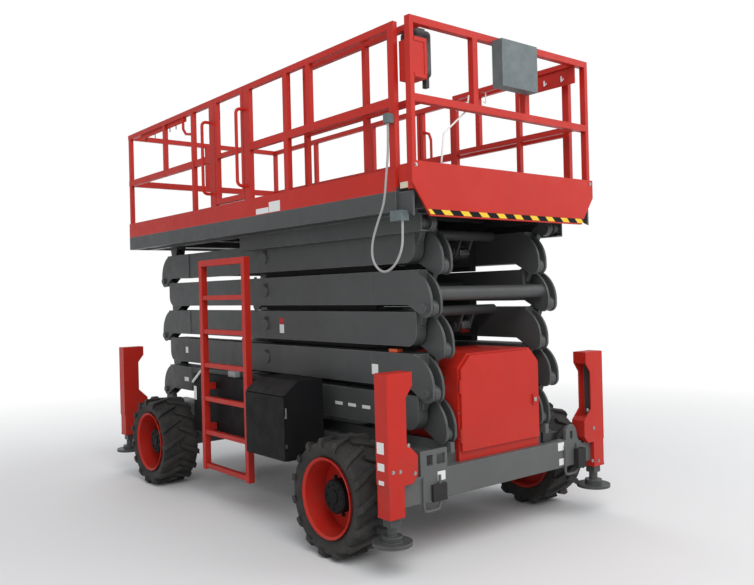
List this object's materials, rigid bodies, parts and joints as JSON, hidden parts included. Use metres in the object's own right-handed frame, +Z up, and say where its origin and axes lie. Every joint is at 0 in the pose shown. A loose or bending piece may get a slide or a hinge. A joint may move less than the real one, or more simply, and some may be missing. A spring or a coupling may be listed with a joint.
{
  "type": "rough-terrain scissor lift",
  "caption": "Rough-terrain scissor lift, stowed: crossed-arm stack, outriggers at the corners, railed platform with roll-out deck, ladder, engine hood and lugged wheels.",
  "frame": {"origin": "on the ground below the centre of the stowed machine's bounding box", "axes": "+X along the machine towards the end with the hazard-striped plate and the engine hood, +Y to the left, +Z up; the ladder is on the -Y side"},
  "size_m": [4.76, 2.44, 3.635],
  "materials": {
    "red_paint": "satin",
    "dark_grey_paint": "satin",
    "black_paint": "satin",
    "grey_paint": "satin",
    "floor_steel": "worn",
    "bright_steel": "polished",
    "tyre_rubber": "matte",
    "case_plastic": "matte",
    "grey_plastic": "matte",
    "cable_sheath": "matte",
    "iron": "rough"
  },
  "bodies": {
    "chassis": {"chassis_frame": "dark_grey_paint", "front_axle": "dark_grey_paint", "rear_axle": "dark_grey_paint", "engine_hood": "red_paint", "engine_block": "iron", "right_cabinet": "black_paint", "left_cabinet": "black_paint", "hydraulic_tank": "grey_paint", "battery_block": "case_plastic", "ladder": "red_paint", "outrigger_housings": "red_paint"},
    "hood_door": {"hood_door": "red_paint"},
    "right_door": {"right_cabinet_door": "black_paint"},
    "left_door": {"left_cabinet_door": "black_paint"},
    "knuckle_left": {"knuckle_left": "dark_grey_paint"},
    "knuckle_right": {"knuckle_right": "dark_grey_paint"},
    "wheel_front_left": {"tyre_front_left": "tyre_rubber", "rim_front_left": "red_paint"},
    "leg_front_left": {"outrigger_leg_front_left": "dark_grey_paint"},
    "wheel_front_right": {"tyre_front_right": "tyre_rubber", "rim_front_right": "red_paint"},
    "leg_front_right": {"outrigger_leg_front_right": "dark_grey_paint"},
    "wheel_rear_left": {"tyre_rear_left": "tyre_rubber", "rim_rear_left": "red_paint"},
    "leg_rear_left": {"outrigger_leg_rear_left": "dark_grey_paint"},
    "wheel_rear_right": {"tyre_rear_right": "tyre_rubber", "rim_rear_right": "red_paint"},
    "leg_rear_right": {"outrigger_leg_rear_right": "dark_grey_paint"},
    "outer_1": {"outer_arms_1": "dark_grey_paint"},
    "inner_1": {"inner_arms_1": "dark_grey_paint"},
    "outer_2": {"outer_arms_2": "dark_grey_paint"},
    "inner_2": {"inner_arms_2": "dark_grey_paint"},
    "outer_3": {"outer_arms_3": "dark_grey_paint"},
    "inner_3": {"inner_arms_3": "dark_grey_paint"},
    "outer_4": {"outer_arms_4": "dark_grey_paint"},
    "inner_4": {"inner_arms_4": "dark_grey_paint"},
    "outer_5": {"outer_arms_5": "dark_grey_paint"},
    "inner_5": {"inner_arms_5": "dark_grey_paint"},
    "barrels_lower": {"lift_barrels_lower": "dark_grey_paint"},
    "barrels_upper": {"lift_barrels_upper": "dark_grey_paint"},
    "rods_lower": {"lift_rods_lower": "bright_steel"},
    "rods_upper": {"lift_rods_upper": "bright_steel"},
    "platform": {"platform_floor": "floor_steel", "platform_frame": "dark_grey_paint", "platform_tracks": "dark_grey_paint", "toe_boards": "red_paint", "guard_rail_right": "red_paint", "guard_rail_left": "red_paint", "guard_rail_rear": "red_paint", "control_cable": "cable_sheath", "cable_fittings": "grey_plastic"},
    "gate": {"entry_gate": "red_paint"},
    "rollout": {"rollout_deck": "floor_steel", "front_plate": "red_paint", "rollout_rails": "red_paint", "control_console": "case_plastic", "manual_box": "grey_plastic"}
  },
  "joints": [
    {"name": "arms_lift", "type": "hinge", "parent": "chassis", "child": "outer_1", "pos_m": [-2.12, 0, 0.84], "axis": [0, -1, 0], "range_deg": [0, 57.16]},
    {"name": "inner_turn_1", "type": "hinge", "parent": "outer_1", "child": "inner_1", "pos_m": [-0.02, 0, 0.9875], "axis": [0, -1, 0], "range_deg": [-114.33, 0]},
    {"name": "outer_turn_2", "type": "hinge", "parent": "outer_1", "child": "outer_2", "pos_m": [2.08, 0, 1.135], "axis": [0, -1, 0], "range_deg": [-114.33, 0]},
    {"name": "inner_turn_2", "type": "hinge", "parent": "outer_2", "child": "inner_2", "pos_m": [-0.02, 0, 1.2825], "axis": [0, -1, 0], "range_deg": [0, 114.33]},
    {"name": "outer_turn_3", "type": "hinge", "parent": "outer_2", "child": "outer_3", "pos_m": [-2.12, 0, 1.43], "axis": [0, -1, 0], "range_deg": [0, 114.33]},
    {"name": "inner_turn_3", "type": "hinge", "parent": "outer_3", "child": "inner_3", "pos_m": [-0.02, 0, 1.5775], "axis": [0, -1, 0], "range_deg": [-114.33, 0]},
    {"name": "outer_turn_4", "type": "hinge", "parent": "outer_3", "child": "outer_4", "pos_m": [2.08, 0, 1.725], "axis": [0, -1, 0], "range_deg": [-114.33, 0]},
    {"name": "inner_turn_4", "type": "hinge", "parent": "outer_4", "child": "inner_4", "pos_m": [-0.02, 0, 1.8725], "axis": [0, -1, 0], "range_deg": [0, 114.33]},
    {"name": "outer_turn_5", "type": "hinge", "parent": "outer_4", "child": "outer_5", "pos_m": [-2.12, 0, 2.02], "axis": [0, -1, 0], "range_deg": [0, 114.33]},
    {"name": "inner_turn_5", "type": "hinge", "parent": "outer_5", "child": "inner_5", "pos_m": [-0.02, 0, 2.1675], "axis": [0, -1, 0], "range_deg": [-114.33, 0]},
    {"name": "platform_level", "type": "hinge", "parent": "inner_5", "child": "platform", "pos_m": [-2.12, 0, 2.315], "axis": [0, -1, 0], "range_deg": [0, 57.17]},
    {"name": "barrels_turn_lower", "type": "hinge", "parent": "inner_2", "child": "barrels_lower", "pos_m": [-1.22, 0, 1.329], "axis": [0, -1, 0], "range_deg": [0, 3.19]},
    {"name": "rods_out_lower", "type": "slide", "parent": "barrels_lower", "child": "rods_lower", "axis": [0.9966, 0, 0.0822], "range_m": [0, 0.8505]},
    {"name": "barrels_turn_upper", "type": "hinge", "parent": "inner_4", "child": "barrels_upper", "pos_m": [-1.22, 0, 1.919], "axis": [0, -1, 0], "range_deg": [0, 3.19]},
    {"name": "rods_out_upper", "type": "slide", "parent": "barrels_upper", "child": "rods_upper", "axis": [0.9966, 0, 0.0822], "range_m": [0, 0.8505]},
    {"name": "steer_left", "type": "hinge", "parent": "chassis", "child": "knuckle_left", "pos_m": [1.58, 0.93, 0.42], "axis": [0, 0, 1], "range_deg": [-30, 30]},
    {"name": "steer_right", "type": "hinge", "parent": "chassis", "child": "knuckle_right", "pos_m": [1.58, -0.93, 0.42], "axis": [0, 0, 1], "range_deg": [-30, 30]},
    {"name": "spin_front_left", "type": "hinge", "parent": "knuckle_left", "child": "wheel_front_left", "pos_m": [1.58, 1.035, 0.42], "axis": [0, 1, 0], "continuous": true},
    {"name": "spin_front_right", "type": "hinge", "parent": "knuckle_right", "child": "wheel_front_right", "pos_m": [1.58, -1.035, 0.42], "axis": [0, 1, 0], "continuous": true},
    {"name": "spin_rear_left", "type": "hinge", "parent": "chassis", "child": "wheel_rear_left", "pos_m": [-1.42, 1.035, 0.42], "axis": [0, 1, 0], "continuous": true},
    {"name": "spin_rear_right", "type": "hinge", "parent": "chassis", "child": "wheel_rear_right", "pos_m": [-1.42, -1.035, 0.42], "axis": [0, 1, 0], "continuous": true},
    {"name": "outrigger_front_left", "type": "slide", "parent": "chassis", "child": "leg_front_left", "axis": [0, 0, -1], "range_m": [0, 0.38]},
    {"name": "outrigger_front_right", "type": "slide", "parent": "chassis", "child": "leg_front_right", "axis": [0, 0, -1], "range_m": [0, 0.38]},
    {"name": "outrigger_rear_left", "type": "slide", "parent": "chassis", "child": "leg_rear_left", "axis": [0, 0, -1], "range_m": [0, 0.38]},
    {"name": "outrigger_rear_right", "type": "slide", "parent": "chassis", "child": "leg_rear_right", "axis": [0, 0, -1], "range_m": [0, 0.38]},
    {"name": "hood_door_turn", "type": "hinge", "parent": "chassis", "child": "hood_door", "pos_m": [2.142, -0.42, 1], "axis": [0, 0, -1], "range_deg": [0, 100]},
    {"name": "right_door_turn", "type": "hinge", "parent": "chassis", "child": "right_door", "pos_m": [1.048, -1.185, 0.84], "axis": [0, 0, 1], "range_deg": [0, 85]},
    {"name": "left_door_turn", "type": "hinge", "parent": "chassis", "child": "left_door", "pos_m": [1.048, 1.185, 0.84], "axis": [0, 0, -1], "range_deg": [0, 85]},
    {"name": "gate_turn", "type": "hinge", "parent": "platform", "child": "gate", "pos_m": [-0.376, -0.9036, 3.1], "axis": [0, 0, 1], "range_deg": [0, 90]},
    {"name": "rollout_slide", "type": "slide", "parent": "platform", "child": "rollout", "axis": [1, 0, 0], "range_m": [0, 1.2]}
  ],
  "couplings": [
    {"joint": "inner_turn_1", "follows": "arms_lift", "ratio": -2},
    {"joint": "outer_turn_2", "follows": "arms_lift", "ratio": -2},
    {"joint": "inner_turn_2", "follows": "arms_lift", "ratio": 2},
    {"joint": "outer_turn_3", "follows": "arms_lift", "ratio": 2},
    {"joint": "inner_turn_3", "follows": "arms_lift", "ratio": -2},
    {"joint": "outer_turn_4", "follows": "arms_lift", "ratio": -2},
    {"joint": "inner_turn_4", "follows": "arms_lift", "ratio": 2},
    {"joint": "outer_turn_5", "follows": "arms_lift", "ratio": 2},
    {"joint": "inner_turn_5", "follows": "arms_lift", "ratio": -2},
    {"joint": "platform_level", "follows": "arms_lift", "ratio": 1},
    {"joint": "barrels_turn_lower", "follows": "arms_lift", "ratio": 0.055715},
    {"joint": "rods_out_lower", "follows": "arms_lift", "m_per_rad": 0.85162},
    {"joint": "barrels_turn_upper", "follows": "arms_lift", "ratio": 0.055715},
    {"joint": "rods_out_upper", "follows": "arms_lift", "m_per_rad": 0.85162},
    {"joint": "steer_right", "follows": "steer_left", "ratio": 1}
  ]
}
